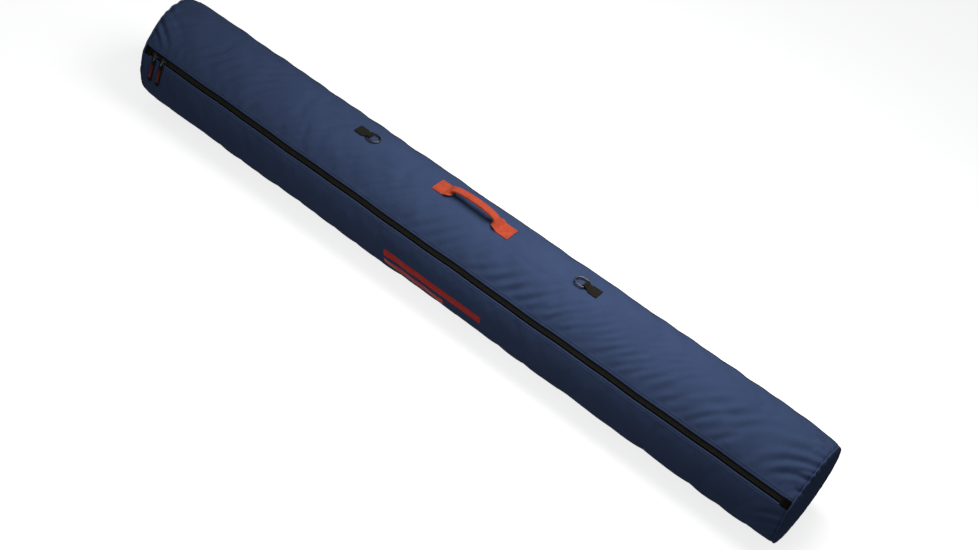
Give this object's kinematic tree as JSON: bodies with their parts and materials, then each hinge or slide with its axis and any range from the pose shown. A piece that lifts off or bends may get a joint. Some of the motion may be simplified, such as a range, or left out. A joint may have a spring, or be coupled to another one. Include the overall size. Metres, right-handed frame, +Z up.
{
  "type": "snowboard bag",
  "caption": "Long slim padded tube bag for a snowboard or skis, with a full-length two-slider zipper, a webbing carry handle and D-rings on tabs.",
  "frame": {"origin": "middle of the flat underside that the bag lies on", "axes": "+X along the bag, from the end with the sliders to the other end; +Z up through the handle; the zipper is on the -Y side"},
  "size_m": [1.7, 0.2408, 0.2503],
  "materials": {
    "navy_fabric": "woven polyester with a light coating, satin",
    "navy_end_fabric": "woven polyester with a light coating, satin",
    "navy_piping": "fabric welt, matt",
    "binding_tape": "ribbed polyester tape",
    "black_seam_tape": "fine ribbed tape, matt",
    "zip_tape": "woven zipper tape",
    "zip_coil": "nylon monofilament, slightly olive",
    "slider_metal": "black lacquer over die-cast metal, gloss worn at the edges",
    "link_metal": "black lacquer, satin",
    "pull_moulding": "moulded black elastomer",
    "pull_red": "red moulded inlay, matt",
    "ring_metal": "gunmetal finish, satin",
    "black_webbing": "flat polyester webbing",
    "orange_webbing": "flat polyester webbing, orange-red",
    "backing_cloth": "heavy woven patch",
    "red_print": "heat-transfer film, matt"
  },
  "bodies": {
    "bag": {"upper_panel": "navy_fabric", "lower_panel": "navy_fabric", "end_panel_left": "navy_end_fabric", "end_panel_right": "navy_end_fabric", "end_piping_left": "navy_piping", "end_piping_right": "navy_piping", "seam_binding_left": "binding_tape", "seam_binding_right": "binding_tape", "back_seam_tape": "black_seam_tape", "zip_tape_upper": "zip_tape", "zip_tape_lower": "zip_tape", "zip_coil_upper": "zip_coil", "zip_coil_lower": "zip_coil", "zip_end_tab_left": "black_seam_tape", "zip_end_tab_right": "black_seam_tape", "d_ring_loop_left": "black_webbing", "d_ring_loop_right": "black_webbing", "handle_end_left": "orange_webbing", "handle_end_right": "orange_webbing", "handle_backing": "backing_cloth", "ring_backing_left": "backing_cloth", "ring_backing_right": "backing_cloth", "front_print": "red_print"},
    "slider_left": {"zip_slider_left": "slider_metal"},
    "slider_right": {"zip_slider_right": "slider_metal"},
    "link_left": {"pull_link_left": "link_metal"},
    "link_right": {"pull_link_right": "link_metal"},
    "pull_left": {"pull_tab_left": "pull_moulding", "pull_inlay_left": "pull_red"},
    "pull_right": {"pull_tab_right": "pull_moulding", "pull_inlay_right": "pull_red"},
    "ring_left": {"d_ring_left": "ring_metal"},
    "ring_right": {"d_ring_right": "ring_metal"},
    "grip": {"handle_grip": "orange_webbing"}
  },
  "joints": [
    {"name": "slider_left_slide", "type": "slide", "parent": "bag", "child": "slider_left", "axis": [1, 0, 0], "range_m": [-0.005, 0.008]},
    {"name": "slider_right_slide", "type": "slide", "parent": "bag", "child": "slider_right", "axis": [1, 0, 0], "range_m": [0, 1.598]},
    {"name": "link_left_lift", "type": "hinge", "parent": "slider_left", "child": "link_left", "pos_m": [-0.808, -0.10705, 0.16163], "axis": [-1, 0, 0], "range_deg": [0, 110]},
    {"name": "link_right_lift", "type": "hinge", "parent": "slider_right", "child": "link_right", "pos_m": [-0.7855, -0.10705, 0.16163], "axis": [-1, 0, 0], "range_deg": [0, 110]},
    {"name": "pull_left_swing", "type": "hinge", "parent": "link_left", "child": "pull_left", "pos_m": [-0.808, -0.11143, 0.15264], "axis": [-1, 0, 0], "range_deg": [0, 75]},
    {"name": "pull_right_swing", "type": "hinge", "parent": "link_right", "child": "pull_right", "pos_m": [-0.7855, -0.11143, 0.15264], "axis": [-1, 0, 0], "range_deg": [0, 75]},
    {"name": "ring_left_lift", "type": "hinge", "parent": "bag", "child": "ring_left", "pos_m": [-0.295, 0, 0.22942], "axis": [0, -1, 0], "range_deg": [0, 150]},
    {"name": "ring_right_lift", "type": "hinge", "parent": "bag", "child": "ring_right", "pos_m": [0.271, 0, 0.22942], "axis": [0, 1, 0], "range_deg": [0, 150]},
    {"name": "grip_flop", "type": "hinge", "parent": "bag", "child": "grip", "pos_m": [-0.012, 0, 0.23516], "axis": [1, 0, 0], "range_deg": [-35, 35], "stiffness_Nm_per_rad": 0.02}
  ]
}
